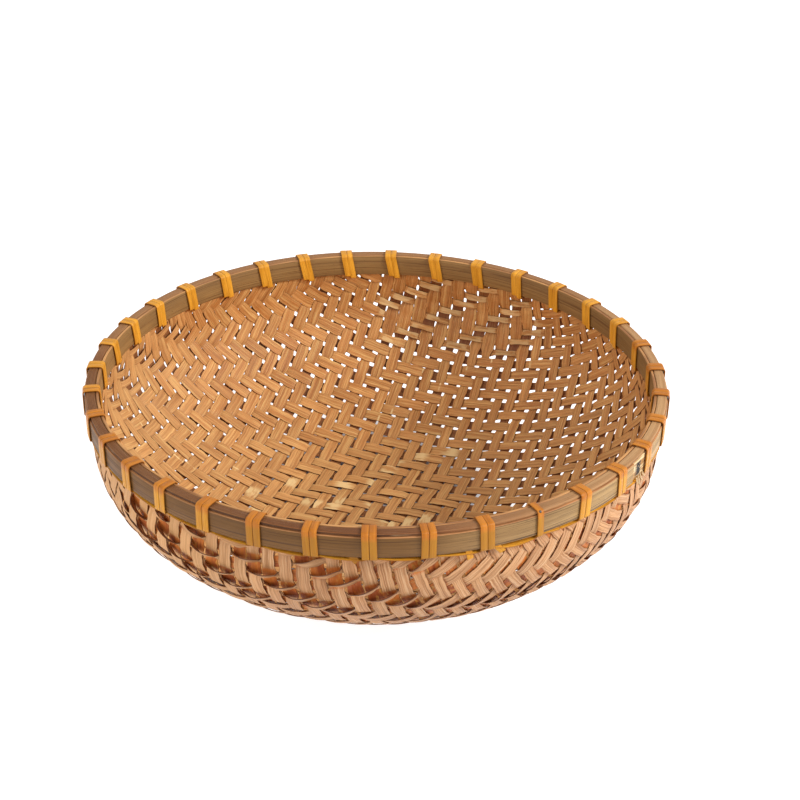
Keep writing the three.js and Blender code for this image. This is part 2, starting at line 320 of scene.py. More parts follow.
class Nodes:
    """Adds nodes to a tree. What is given for a socket is linked to it, or set on it."""

    def __init__(self, tree):
        self.tree = tree
        tree.nodes.clear()

    def feed(self, socket, value):
        if isinstance(value, bpy.types.NodeSocket):
            self.tree.links.new(value, socket)
        else:
            socket.default_value = value

    def add(self, kind, sockets=None, **settings):
        node = self.tree.nodes.new(kind)
        for name, value in settings.items():
            setattr(node, name, value)
        for key, value in (sockets or {}).items():
            self.feed(node.inputs[key], value)
        return node

    def math(self, operation, *values):
        node = self.add("ShaderNodeMath", operation=operation)
        for socket, value in zip(node.inputs, values):
            self.feed(socket, value)
        return node.outputs[0]

    def vector(self, x, y, z):
        return self.add("ShaderNodeCombineXYZ", {0: x, 1: y, 2: z}).outputs[0]

    def vector_math(self, operation, *values):
        node = self.add("ShaderNodeVectorMath", operation=operation)
        sockets = [s for s in node.inputs if s.enabled]
        for socket, value in zip(sockets, values):
            self.feed(socket, value)
        return node.outputs[0]

    def scaled(self, vector, factor):
        node = self.add("ShaderNodeVectorMath", {0: vector, 3: factor}, operation="SCALE")
        return node.outputs[0]

    def ramp(self, value, low, high, start=0.0, end=1.0, smooth=True):
        node = self.add(
            "ShaderNodeMapRange",
            {0: value, 1: low, 2: high, 3: start, 4: end},
            interpolation_type="SMOOTHSTEP" if smooth else "LINEAR",
        )
        return node.outputs[0]

    def mix(self, share, first, second, mode="MIX"):
        node = self.add("ShaderNodeMix", data_type="RGBA", blend_type=mode)
        for index, value in ((0, share), (6, first), (7, second)):
            self.feed(node.inputs[index], value)
        return node.outputs[2]

    def noise(self, vector, detail=2.0, roughness=0.5):
        node = self.add(
            "ShaderNodeTexNoise",
            {"Vector": vector, "Scale": 1.0, "Detail": detail, "Roughness": roughness},
        )
        return node.outputs[0]

    def attribute(self, name):
        return self.add("ShaderNodeAttribute", attribute_name=name).outputs["Fac"]

    def store(self, geometry, name, value, kind="FLOAT"):
        node = self.add(
            "GeometryNodeStoreNamedAttribute",
            {"Geometry": geometry, "Name": name, "Value": value},
            data_type=kind,
            domain="POINT",
        )
        return node.outputs[0]

    def stored(self, name, kind="FLOAT"):
        node = self.add("GeometryNodeInputNamedAttribute", {"Name": name}, data_type=kind)
        return node.outputs["Attribute"]


# Making strips along guide lines


def strip_outline(g, given):
    """Section of a strip: flat, with rounded edges."""
    width, thickness, edge = given["Width"], given["Thickness"], given["Edge Radius"]

    def corner(size, turn):
        flat = g.math("SUBTRACT", g.math("MULTIPLY", size, 0.5), edge)
        side = g.math("MULTIPLY", g.math("SIGN", turn), flat)
        return g.math("ADD", side, g.math("MULTIPLY", turn, edge))

    step = g.math("DIVIDE", math.tau, given["Sides"])
    index = g.add("GeometryNodeInputIndex").outputs[0]
    turn = g.math("MULTIPLY", g.math("ADD", index, 0.5), step)
    x = corner(width, g.math("COSINE", turn))
    y = corner(thickness, g.math("SINE", turn))
    ring = g.add("GeometryNodeCurvePrimitiveCircle", {"Resolution": given["Sides"], "Radius": 1.0})
    outline = g.add(
        "GeometryNodeSetPosition", {"Geometry": ring.outputs[0], "Position": g.vector(x, y, 0.0)}
    ).outputs[0]
    outline = g.store(outline, "across", g.math("DIVIDE", x, width))
    return g.store(outline, "through", g.math("DIVIDE", y, thickness))


def strip_place(g, given):
    """Place of each point: off the guide line by the strip's width and thickness there."""
    facing = g.stored("facing", "FLOAT_VECTOR")
    side = g.vector_math("CROSS_PRODUCT", facing, g.stored("way", "FLOAT_VECTOR"))
    side = g.vector_math("NORMALIZE", side)
    spread = g.add("FunctionNodeRandomValue", data_type="FLOAT")
    for socket, value in (
        (2, g.math("SUBTRACT", 1.0, given["Width Variation"])),
        (3, g.math("ADD", 1.0, given["Width Variation"])),
        (7, g.stored("strip")),
        (8, given["Seed"]),
    ):
        g.feed(spread.inputs[socket], value)
    reach = g.math("MULTIPLY", g.math("MULTIPLY", g.stored("across"), given["Width"]),
                   g.stored("breadth"))
    reach = g.math("MULTIPLY", reach, spread.outputs[1])
    depth = g.math("MULTIPLY", g.math("MULTIPLY", g.stored("through"), given["Thickness"]),
                   g.stored("body"))
    place = g.vector_math("ADD", g.stored("centre", "FLOAT_VECTOR"), g.scaled(side, reach))
    return g.vector_math("ADD", place, g.scaled(facing, depth))


def shade_strip(g, solid):
    """Smooth faces, with creases where they meet at a sharp angle."""
    solid = g.add(
        "GeometryNodeSetShadeSmooth", {"Geometry": solid, "Shade Smooth": True}, domain="FACE"
    ).outputs[0]
    angle = g.add("GeometryNodeInputMeshEdgeAngle").outputs[0]
    crease = g.math("GREATER_THAN", angle, math.radians(CREASE_ANGLE))
    return g.add(
        "GeometryNodeSetShadeSmooth",
        {"Geometry": solid, "Selection": crease, "Shade Smooth": False},
        domain="EDGE",
    ).outputs[0]


def strip_tree():
    """Geometry nodes that lay a flat strip with rounded edges along every guide line."""
    tree = bpy.data.node_groups.new("strips_along_guides", "GeometryNodeTree")
    for name, kind in (
        ("Guides", "NodeSocketGeometry"),
        ("Width", "NodeSocketFloat"),
        ("Thickness", "NodeSocketFloat"),
        ("Edge Radius", "NodeSocketFloat"),
        ("Width Variation", "NodeSocketFloat"),
        ("Seed", "NodeSocketInt"),
        ("Sides", "NodeSocketInt"),
        ("Material", "NodeSocketMaterial"),
    ):
        tree.interface.new_socket(name, in_out="INPUT", socket_type=kind)
    tree.interface.new_socket("Strips", in_out="OUTPUT", socket_type="NodeSocketGeometry")
    g = Nodes(tree)
    given = g.add("NodeGroupInput").outputs

    line = g.add("GeometryNodeMeshToCurve", {"Mesh": given["Guides"]}).outputs[0]
    centre = g.add("GeometryNodeInputPosition").outputs[0]
    line = g.store(line, "centre", centre, "FLOAT_VECTOR")
    way = g.add("GeometryNodeInputTangent").outputs[0]
    line = g.store(line, "way", way, "FLOAT_VECTOR")
    solid = g.add(
        "GeometryNodeCurveToMesh",
        {"Curve": line, "Profile Curve": strip_outline(g, given), "Fill Caps": True},
    ).outputs[0]
    solid = g.add(
        "GeometryNodeSetPosition", {"Geometry": solid, "Position": strip_place(g, given)}
    ).outputs[0]
    for name in ("centre", "way", "facing"):
        solid = g.add("GeometryNodeRemoveAttribute", {"Geometry": solid, "Name": name}).outputs[0]
    solid = shade_strip(g, solid)
    solid = g.add("GeometryNodeRealizeInstances", {"Geometry": solid}).outputs[0]
    solid = g.add(
        "GeometryNodeSetMaterial", {"Geometry": solid, "Material": given["Material"]}
    ).outputs[0]
    g.add("NodeGroupOutput", {"Strips": solid})
    return tree


class Guides:
    """Collects guide lines, each with its facing and its values at every station."""

    VALUES = ("along", "breadth", "body", "tone", "strip", "under", "mark", "flare")

    def __init__(self):
        self.points = []
        self.facings = []
        self.edges = []
        self.values = {name: [] for name in self.VALUES}
        self.count = 0

    def add(self, points, facings, tone=0.5, **values):
        """Points in millimetres. Facings are turned square to the line."""
        points = np.asarray(points, float)
        way = np.gradient(points, axis=0)
        way /= np.linalg.norm(way, axis=1)[:, None]
        facings = facings - way * np.sum(facings * way, axis=1)[:, None]
        facings /= np.linalg.norm(facings, axis=1)[:, None]
        steps = np.linalg.norm(np.diff(points, axis=0), axis=1)
        along = np.concatenate([[0.0], np.cumsum(steps)]) * MM
        start = sum(len(part) for part in self.points)
        self.edges += [(start + k, start + k + 1) for k in range(len(points) - 1)]
        self.points.append(points * MM)
        self.facings.append(facings)
        fixed = {
            "along": along, "tone": tone, "strip": self.count,
            "breadth": 1.0, "body": 1.0, "under": 0.0, "mark": 1.0, "flare": 0.0,
        }
        for name, value in {**fixed, **values}.items():
            self.values[name].append(np.broadcast_to(value, len(points)))
        self.count += 1

    def mesh(self, name):
        mesh = bpy.data.meshes.new(name)
        points = np.concatenate(self.points)
        mesh.from_pydata(points.tolist(), self.edges, [])
        facing = mesh.attributes.new("facing", "FLOAT_VECTOR", "POINT")
        facing.data.foreach_set("vector", np.concatenate(self.facings).astype(np.float32).ravel())
        for key, parts in self.values.items():
            layer = mesh.attributes.new(key, "FLOAT", "POINT")
            layer.data.foreach_set("value", np.concatenate(parts).astype(np.float32))
        return mesh


def make_strips(name, guides, tree, material, width, thickness, edge,
                sides=8, variation=0.0, seed=1):
    """Lays the strips and returns them as one plain mesh object at the origin."""
    source = bpy.data.objects.new(name + "_guides", guides.mesh(name + "_guides"))
    bpy.context.scene.collection.objects.link(source)
    modifier = source.modifiers.new("strips", "NODES")
    modifier.node_group = tree
    wanted = {
        "Width": width * MM, "Thickness": thickness * MM, "Edge Radius": edge * MM,
        "Width Variation": variation, "Seed": seed, "Sides": sides, "Material": material,
    }
    for item in tree.interface.items_tree:
        if item.in_out == "INPUT" and item.name in wanted:
            modifier[item.identifier] = wanted[item.name]
    bpy.context.view_layer.update()
    graph = bpy.context.evaluated_depsgraph_get()
    mesh = bpy.data.meshes.new_from_object(source.evaluated_get(graph))
    mesh.name = name
    bpy.data.objects.remove(source)
    piece = bpy.data.objects.new(name, mesh)
    bpy.context.scene.collection.objects.link(piece)
    return piece


# Shape of the bowl


def bowl_outline():
    """Rolled-out length, radius, height and inward normal along the middle of the mat."""
    angle = np.linspace(0.0, math.pi / 2, CURVE_STEPS)
    power = 2.0 / BOWL_ROUNDNESS
    radius = REST_RADIUS + (BULGE_RADIUS - REST_RADIUS) * np.sin(angle) ** power
    height = BULGE_HEIGHT * (1.0 - np.maximum(np.cos(angle), 0.0) ** power)
    wall = [(BULGE_RADIUS + SEAT_RADIUS) / 2, SEAT_RADIUS, SEAT_RADIUS]
    radius = np.concatenate([[0.0], radius, wall])
    height = np.concatenate([[0.0], height, [LEAN_START, LEAN_TOP, WALL_TOP]])
    length = np.concatenate([[0.0], np.cumsum(np.hypot(np.diff(radius), np.diff(height)))])
    even = np.linspace(0.0, length[-1], OUTLINE_STEPS)
    radius, height = np.interp(even, length, radius), np.interp(even, length, height)
    window = np.hanning(OUTLINE_SMOOTHING)
    window /= window.sum()
    edge = len(window) // 2

    def soften(line):
        start = 2 * line[0] - line[edge:0:-1]
        end = 2 * line[-1] - line[-2:-edge - 2:-1]
        return np.convolve(np.concatenate([start, line, end]), window, "valid")

    radius, height = soften(radius), soften(height)
    turn_r, turn_z = np.gradient(radius), np.gradient(height)
    size = np.hypot(turn_r, turn_z)
    normal_r, normal_z = -turn_z / size, turn_r / size
    half = MAT_THICKNESS / 2
    return even, radius + normal_r * half, height + normal_z * half, normal_r, normal_z


OUTLINE = bowl_outline()
END_LENGTH = np.interp(SPLINT_END_HEIGHT, OUTLINE[2], OUTLINE[0])


def on_bowl(right, back):
    """Place on the bowl and inward normal there, for a place on the rolled-out bowl."""
    length = np.hypot(right, back)
    safe = np.maximum(length, TINY)
    radius, height, normal_r, normal_z = (
        np.interp(length, OUTLINE[0], line) for line in OUTLINE[1:]
    )
    place = np.stack([radius * right / safe, radius * back / safe, height], axis=-1)
    normal = np.stack([normal_r * right / safe, normal_r * back / safe, normal_z], axis=-1)
    return place, normal


def lattice(i, j):
    """Rolled-out place of a point on the weave, counted in splints."""
    a, b = i / LATTICE_STEP, j / LATTICE_STEP
    terms = (a, b, a ** 3, a * a * b, a * b * b, b ** 3)
    right = sum(size * term for size, term in zip(LATTICE_RIGHT, terms))
    back = sum(size * term for size, term in zip(LATTICE_BACK, terms))
    return right, back


def within(value, low, high, soft):
    """1 between two limits, fading to 0 over a soft edge outside them."""
    return smooth_step(value, low - soft, low) * smooth_step(-value, -high - soft, -high)


def zones(right, back):
    """Where floats along the rim spring off: outside in front, inside behind, inside left."""
    length = np.hypot(right, back)
    azimuth = np.degrees(np.arctan2(right, -back))
    lowest = length - POCKET_RISE * np.maximum(0.0, -azimuth - POCKET_RISE_FROM)
    pockets = within(azimuth, *POCKET_AZIMUTHS, ZONE_FADE) * smooth_step(lowest, *POCKET_LENGTHS)
    shelves = within(azimuth, *SHELF_AZIMUTHS, ZONE_FADE) * smooth_step(length, *SHELF_LENGTHS)
    left = within(azimuth, *LEFT_AZIMUTHS, ZONE_FADE) * smooth_step(length, *LEFT_LENGTHS)
    return pockets, shelves, left


def spring_out(steep, right, back, level):
    """Floats on the outside: bow, flare, slimness over the pockets, and slimness elsewhere."""
    length = np.hypot(right, back)
    azimuth = np.degrees(np.arctan2(right, -back))
    pockets = smooth_step(level, *POCKET_LEVELS) * zones(right, back)[0]
    narrow = 0.0
    if not steep:
        narrow = within(azimuth, *NARROW_AZIMUTHS) * within(length, *NARROW_LENGTHS)
    elsewhere = OUTSIDE_BOW * smooth_step(level, *OUTSIDE_LEVELS)
    elsewhere = elsewhere * within(length, *OUTSIDE_LENGTHS)
    bow = np.maximum(np.maximum(POCKET_BOW * pockets, NARROW_BOW * narrow), elsewhere)
    slimness = OUTSIDE_SLIMNESS + RIGHT_SLIMNESS * within(azimuth, *RIGHT_AZIMUTHS)
    slimness = smooth_step(length, *SLIM_LENGTHS) * slimness
    return bow, np.maximum(pockets, narrow), pockets, slimness


def spring_in(right, back, level):
    """Floats on the inside: bow, degrees that they turn by, and slimness."""
    along_rim = smooth_step(level, *INSIDE_LEVELS)
    wall = smooth_step(np.hypot(right, back), *WALL_LENGTHS)
    shelves, left = (along_rim * zone for zone in zones(right, back)[1:])
    bow = np.maximum(SHELF_BOW * shelves, LEFT_BOW * left) + INSIDE_BOW * along_rim * wall
    turn = np.maximum(SHELF_TURN * shelves, LEFT_TURN * left)
    return bow, turn, np.maximum(INSIDE_SLIMNESS * shelves, INSIDE_SLIMNESS * left)


def splint_breadth(steep, right, back, pitch):
    """Share of its full width that a splint has, by the room between its neighbours."""
    length = np.hypot(right, back)
    open_side = smooth_step(right, *OPEN_SIDE_RIGHT) * smooth_step(back, *OPEN_SIDE_BACK)
    left_side = smooth_step(-right, *LEFT_SIDE)
    crowded = smooth_step(length, *CROWDED_LENGTHS) * smooth_step(-back, *CROWDED_FRONT)
    behind = smooth_step(length, *BEHIND_LENGTHS) * smooth_step(back, *BEHIND_BACK)
    crowded = np.maximum(crowded, behind)
    fill = PITCH_FILL - OPEN_SIDE_LOSS * open_side * (1.0 - crowded) + CROWDED_GAIN * crowded
    fill = fill - LEFT_SIDE_LOSS * left_side
    most = 1.0 - OPEN_SIDE_SLIMMING * open_side
    pockets, shelves, left = zones(right, back)
    if steep:
        most = most + LEFT_SIDE_WIDENING * left_side
        pressed = np.maximum(POCKET_FILL * pockets, SHELF_FILL * shelves)
    else:
        pressed = np.maximum(shelves, left)
    breadth = np.minimum(most, fill * pitch / SPLINT_WIDTH)
    return np.maximum(breadth, np.minimum(pressed * pitch / SPLINT_WIDTH, WIDEST_PRESSED))


def float_slimness(wave, in_slim, pocket_slim, out_slim):
    """Share of its width that a float lacks. The wave is 1 mid-float inside, -1 outside."""
    slim = in_slim * smooth_step(wave, -0.1, 0.05)
    at_ends = POCKET_END_SLIMNESS * np.exp(-(wave / POCKET_END_REACH) ** 2)
    over_pocket = pocket_slim * (POCKET_SLIMNESS + at_ends) * (wave < 0.1)
    slim = np.maximum(slim, over_pocket)
    return np.maximum(slim, out_slim * smooth_step(-wave, -0.1, 0.1))


def wall_sag(right, back, step):
    """How far a float can bow: along the wall a splint is longer than its way there.

    A shallow bow is longer than its chord by a share of 8/3 times the square of its sag
    over its chord.
    """
    flat_step = np.hypot(np.gradient(right), np.gradient(back))
    spare = np.clip(1.0 - step / np.maximum(flat_step, TINY), 0.0, MOST_SPARE_LENGTH)
    return FLOAT_LENGTH * np.sqrt(3 / 8 * spare)


def add_splint(guides, steep, number, rng):
    """Guide line of one splint, counted from the middle one."""
    waves = rng.uniform(0.0, math.tau, 3)
    tone, mark_at, end_cut = rng.uniform(size=3)
    lift = rng.uniform(*LIFT_RANGE, 4 * SPLINT_REACH + 8)
    offset, phase = (STEEP_OFFSET, STEEP_PHASE) if steep else (FLAT_OFFSET, FLAT_PHASE)
    reach = SPLINT_REACH * STATIONS_PER_CROSSING
    count = np.arange(-reach, reach + 1)
    place = count / STATIONS_PER_CROSSING + number + phase - np.floor(number + phase)
    line = number + offset + WANDER * (
        np.sin(place * WANDER_WAVES[0] + waves[0])
        + SECOND_WAVE * np.sin(place * WANDER_WAVES[1] + waves[1])
    )

    def locate(shift):
        ij = (line + shift, place) if steep else (place, line + shift)
        return lattice(*ij)

    right, back = locate(0.0)
    length = np.hypot(right, back)
    held = length < END_LENGTH - END_CUT * end_cut
    if held.sum() < 3 * STATIONS_PER_CROSSING:
        return
    first, last = np.flatnonzero(held)[[0, -1]]
    span = slice(first, last + 1)
    spot, normal = on_bowl(right, back)
    way = np.gradient(spot, axis=0)
    step = np.linalg.norm(way, axis=1)
    way /= step[:, None]
    aside = on_bowl(*locate(0.5))[0] - on_bowl(*locate(-0.5))[0]
    across = np.cross(normal, way)
    pitch = np.abs(np.sum(aside * across, axis=1))
    outwards = np.stack([right, back], axis=1) / np.maximum(length, TINY)[:, None]
    level = np.abs(way[:, 0] * -outwards[:, 1] + way[:, 1] * outwards[:, 0])
    out_bow, flare, pocket_slim, out_slim = spring_out(steep, right, back, level)
    in_bow, in_turn, in_slim = spring_in(right, back, level)

    # The splint goes over two and under two, and no two floats spring off equally far
    float_count = place - (number + phase)
    wave = np.cos(math.pi / 2 * float_count)
    which = np.floor((float_count + 1.0) / 2.0).astype(int) + 2 * SPLINT_REACH
    spring = lift[np.clip(which, 0, len(lift) - 1)]
    swell = np.where(wave > 0, np.abs(wave) ** INSIDE_RISE, np.abs(wave) ** OUTSIDE_RISE)
    swell = swell * spring
    held_down = 1.0 - smooth_step(
        length, END_LENGTH - LOOSE_BEFORE_END, END_LENGTH - HELD_BEFORE_END
    )
    bow = wall_sag(right, back, step) * np.where(wave > 0, in_bow, out_bow)
    height = LAYER_OFFSET * np.tanh(LAYER_SHARPNESS * wave) / math.tanh(LAYER_SHARPNESS)
    height = height + np.sign(wave) * swell * (FLOOR_ARCH + bow) * held_down
    breadth = splint_breadth(steep, right, back, pitch)
    breadth = breadth * (1.0 - WAIST * np.cos(math.tau * float_count))
    breadth = breadth * (1.0 - float_slimness(wave, in_slim, pocket_slim, out_slim))

    # The upper edge turns outwards, the lower edge inwards
    overhang = np.arcsin(np.clip(normal[:, 2], 0.0, 1.0))
    lean = flare * np.maximum(0.0, math.radians(FLARE_ANGLE) - overhang)
    lean = lean * smooth_step(-wave, -0.1, 0.25)
    turn = (np.where(wave > 0, np.radians(in_turn) * swell, 0.0) + lean) * held_down
    aim = np.stack([outwards[:, 0], outwards[:, 1], np.ones(len(length))], axis=1)
    upwards = across * np.sign(np.sum(across * aim, axis=1))[:, None]
    facing = normal * np.cos(turn)[:, None] + upwards * np.sin(turn)[:, None]
    points = spot + normal * height[:, None]
    upper_side = np.sign(np.sum(np.cross(facing, way) * upwards, axis=1))
    # Painted shade goes along the upper edge of floats that flare out on the outside.
    shaded_upper_edge = upper_side * np.where(wave > 0, 0.0, flare * held_down)

    shorter = 1.0 if abs(number) < MARKED_SPLINTS else MARK_SPREAD
    mark = (place - MARK_SPREAD * (mark_at - 0.5)) * shorter
    if not steep:
        # Shelves face up to the light: their pale mark is painted light.
        on_shelf = zones(right, back)[1] * (wave > 0) > 0.3
        mark = np.where(on_shelf, SHELF_PAINTED_LIGHT * MARK_REACH, mark)
    guides.add(
        points[span], facing[span], tone=tone, breadth=breadth[span],
        under=wave[span], mark=mark[span], flare=shaded_upper_edge[span],
    )


def woven_guides(steep, seed):
    """Guide lines of all splints one way."""
    rng = np.random.default_rng(seed)
    guides = Guides()
    for number in range(-SPLINT_REACH, SPLINT_REACH + 1):
        add_splint(guides, steep, number, rng)
    return guides


# Shape of the rim


def around(radius, angle, height):
    """Points at angles counted from the front."""
    angle = np.radians(angle)
    return np.stack([
        radius * np.sin(angle), -radius * np.cos(angle), height + 0.0 * angle,
    ], axis=-1)


def outwards_at(angle):
    return around(1.0, angle, 0.0)


def signed(angle):
    """An angle counted both ways from the front, from -180 to 180."""
    return (angle + 180.0) % 360.0 - 180.0


def shade_round(angle):
    """How pale the rim is, partly from weathering and partly painted shade at the front left and
    painted light at the right: 0 at the front left, 1 at the right, in between behind.
    """
    pale, dark = within(signed(angle), *PALE_RIM), within(signed(angle), *DARK_RIM)
    return 0.5 + 0.5 * pale - 0.5 * dark


def lap_body(angle, lap_start, lap_end):
    """Share of its thickness that a hoop has, and how much it is its first and last end."""
    lap = lap_end - lap_start
    first = np.clip((lap_end - angle) / lap, 0.0, 1.0)
    last = np.clip((angle - 360.0 - lap_start) / lap, 0.0, 1.0)
    return 1.0 - LAP_TAPER * first - LAP_TAPER * last - LAP_SHAVING * (last > 0), first, last


def outer_hoop_guides():
    """The outer strip: its ends taper and lap over each other, the outer one with a hole painted
    in as dark shadow.
    """
    guides = Guides()
    angle = np.linspace(OUTER_LAP[0], OUTER_TIP + 360.0, RIM_STATIONS)
    body, first, last = lap_body(angle, *OUTER_LAP)
    shift = OUTER_HOOP_THICKNESS / 2 * (1.0 - body)
    middle = HOOP_OUTER_RADIUS - OUTER_HOOP_THICKNESS / 2
    radius = middle - shift * (first > 0) + shift * (last > 0)
    past_tip = angle % 360.0 - OUTER_TIP
    on_first_end = angle < OUTER_TIP + 180.0
    guides.add(
        around(radius, angle, (OUTER_HOOP_TOP + HOOP_BOTTOM) / 2), outwards_at(angle),
        tone=HOOP_TONE, body=body, mark=shade_round(angle),
        flare=within(past_tip, *SHAVED_END) * on_first_end,
        under=within(past_tip, *LAP_HOLE_SHADOW) * on_first_end,
    )
    for start, reach, lean in LAP_FIBRES:
        share = np.linspace(0.0, 1.0, FIBRE_STATIONS)
        turn = OUTER_TIP + start + np.degrees(lean * share ** 2 / HOOP_OUTER_RADIUS)
        height = HOOP_BOTTOM + FIBRE_START - (reach + FIBRE_START) * share
        radius = HOOP_OUTER_RADIUS + FIBRE_STAND + FIBRE_SPREAD * share
        fibre = around(radius, turn, height)
        guides.add(fibre, outwards_at(turn), tone=HOOP_TONE,
                   breadth=FIBRE_BREADTH, body=FIBRE_BODY, flare=1.0)
    return guides


def inner_hoop_guides():
    """The inner strip, with its skin towards the middle and a split behind on the left painted in
    as dark shadow.
    """
    guides = Guides()
    angle = np.linspace(INNER_LAP[0], INNER_TIP + 360.0, RIM_STATIONS)
    body, first, last = lap_body(angle, *INNER_LAP)
    shift = INNER_HOOP_THICKNESS / 2 * (1.0 - body)
    middle = INNER_HOOP_OUTER_RADIUS - INNER_HOOP_THICKNESS / 2
    radius = middle + shift * (first > 0) - shift * (last > 0)
    points = around(radius, angle, (INNER_HOOP_TOP + HOOP_BOTTOM) / 2)
    angle = angle[::-1]
    guides.add(points[::-1], -outwards_at(angle), tone=HOOP_TONE, body=body[::-1],
               mark=shade_round(angle), under=within(angle % 360.0, *INNER_SPLIT_SHADOW))
    return guides


def cap_guides():
    """The flat strip over the outer hoop, with its two ends butted."""
    guides = Guides()
    middle = (CAP_OUTER_RADIUS + CAP_INNER_RADIUS) / 2
    angle = np.linspace(CAP_START, CAP_START + CAP_SPAN, RIM_STATIONS)
    points = around(middle, angle, CAP_TOP - CAP_THICKNESS / 2)
    guides.add(points, np.broadcast_to([0.0, 0.0, 1.0], points.shape), tone=CAP_TONE,
               mark=shade_round(angle))
    return guides


# Lacing


def binding_angle(index):
    """Lacings are evenly spaced, apart from a drift to one side of the basket."""
    even = FIRST_BINDING_ANGLE + index * 360.0 / BINDING_COUNT
    return even - BINDING_DRIFT * (1.0 + math.cos(math.radians(even - DRIFT_ANGLE)))


def turns_at(index):
    return 1 if index == SINGLE_TURN_BINDING else 2


def turn_angles(index):
    """Angles of a lacing's turns. The index goes on past a whole way round."""
    lap, index = divmod(index, BINDING_COUNT)
    pitch = math.degrees(TURN_PITCH / HOOP_OUTER_RADIUS)
    turns = turns_at(index)
    return [
        binding_angle(index) + (turn - (turns - 1) / 2) * pitch + 360.0 * lap
        for turn in range(turns)
    ]


class LacingLine:
    """Stations of one lacing strip: middle, facing, and how far up on the rim it is."""

    def __init__(self):
        self.middles = []
        self.facings = []
        self.crest = []
        self.angles = []

    def put(self, radius, angle, height, out_share, up_share, crest=0.0):
        self.angles.append(angle)
        self.middles.append(around(radius, angle, height))
        self.facings.append(outwards_at(angle) * out_share + np.array([0.0, 0.0, up_share]))
        self.crest.append(crest)

    def bend(self, angle, centre, radius, start, end, steps, crest=0.0):
        for step in range(steps + 1):
            turn = math.radians(start + (end - start) * step / steps)
            out, up = math.cos(turn), math.sin(turn)
            self.put(centre[0] + radius * out, angle, centre[1] + radius * up, out, up, crest)


def run_ends(index):
    """Angles where the strand to a lacing ends and where the strand from it begins."""
    angles = turn_angles(index)
    reach = math.degrees(CORNER_RADIUS / RUN_RADIUS)
    return angles[0] - reach, angles[-1] + reach


def lay_run(line, index, start, end, stations):
    """The strand under the hoop from one lacing to the next."""
    leaves, arrives = run_ends(index)[1], run_ends(index + 1)[0]
    loose = (index + 1) % BINDING_COUNT == SINGLE_TURN_BINDING
    sag = LOOSE_SAG if loose else STRIP_SAG
    for share in np.linspace(start, end, stations):
        height = LACE_BOTTOM + (LACE_CROSSING - LACE_BOTTOM) * share
        height -= sag * math.sin(math.pi * share)
        line.put(RUN_RADIUS, leaves + (arrives - leaves) * share, height, 0.0, -1.0, -1.0)


def end_share(index):
    """Share of a strand that lies between the middle of the gap in it and a strip's end."""
    length = math.radians(run_ends(index + 1)[0] - run_ends(index)[1]) * RUN_RADIUS
    return STRIP_END_GAP / 2 / length


def corner_in(line, angle):
    """From the strand under the hoop round to the way in across the rim."""
    for step in range(CORNER_STEPS + 1):
        turn = math.radians(90.0 * step / CORNER_STEPS)
        back = math.degrees(CORNER_RADIUS * (1.0 - math.sin(turn)) / RUN_RADIUS)
        radius = RUN_RADIUS - CORNER_RADIUS * (1.0 - math.cos(turn))
        line.put(radius, angle - back, LACE_CROSSING, 0.0, -1.0)


def corner_out(line, angle):
    """From the way out across the rim round to the strand under the hoop."""
    for step in range(1, CORNER_STEPS + 1):
        turn = math.radians(90.0 * step / CORNER_STEPS)
        ahead = math.degrees(CORNER_RADIUS * (1.0 - math.cos(turn)) / RUN_RADIUS)
        radius = RUN_RADIUS + CORNER_RADIUS * (1.0 - math.sin(turn))
        line.put(radius, angle + ahead, LACE_BOTTOM, 0.0, -1.0)


def lay_turn(line, angle, skew, lean, start):
    """One turn: up inside the rim, over its top and down outside."""
    low = angle - skew
    line.bend(low, (LACE_INNER_RADIUS + BOTTOM_BEND, start + BOTTOM_BEND),
              BOTTOM_BEND, 270.0, 180.0, BOTTOM_STEPS)
    for share in UP_SHARES:
        height = start + UP_START + share * (LACE_TOP - TOP_BEND - start - UP_START)
        line.put(LACE_INNER_RADIUS - LACE_HOLLOW, low + skew * share, height, -1.0, 0.0)
    line.bend(angle, (LACE_INNER_RADIUS + TOP_BEND, LACE_TOP - TOP_BEND),
              TOP_BEND, 180.0, 90.0, TOP_STEPS, 1.0)
    middle = (LACE_INNER_RADIUS + LACE_OUTER_RADIUS) / 2
    line.put(middle, angle, LACE_TOP + LACE_CROWN, 0.0, 1.0, 1.0)
    line.bend(angle, (LACE_OUTER_RADIUS - TOP_BEND, LACE_TOP - TOP_BEND),
              TOP_BEND, 90.0, 0.0, TOP_STEPS, 1.0)
    for share in DOWN_SHARES:
        drop = LACE_TOP - TOP_BEND - LACE_BOTTOM - BOTTOM_BEND
        height = LACE_TOP - TOP_BEND - share * drop
        line.put(LACE_OUTER_RADIUS + LACE_CROWN, angle + lean * share, height, 1.0, 0.0)
    line.bend(angle + lean, (LACE_OUTER_RADIUS - BOTTOM_BEND, LACE_BOTTOM + BOTTOM_BEND),
              BOTTOM_BEND, 0.0, -90.0, BOTTOM_STEPS)


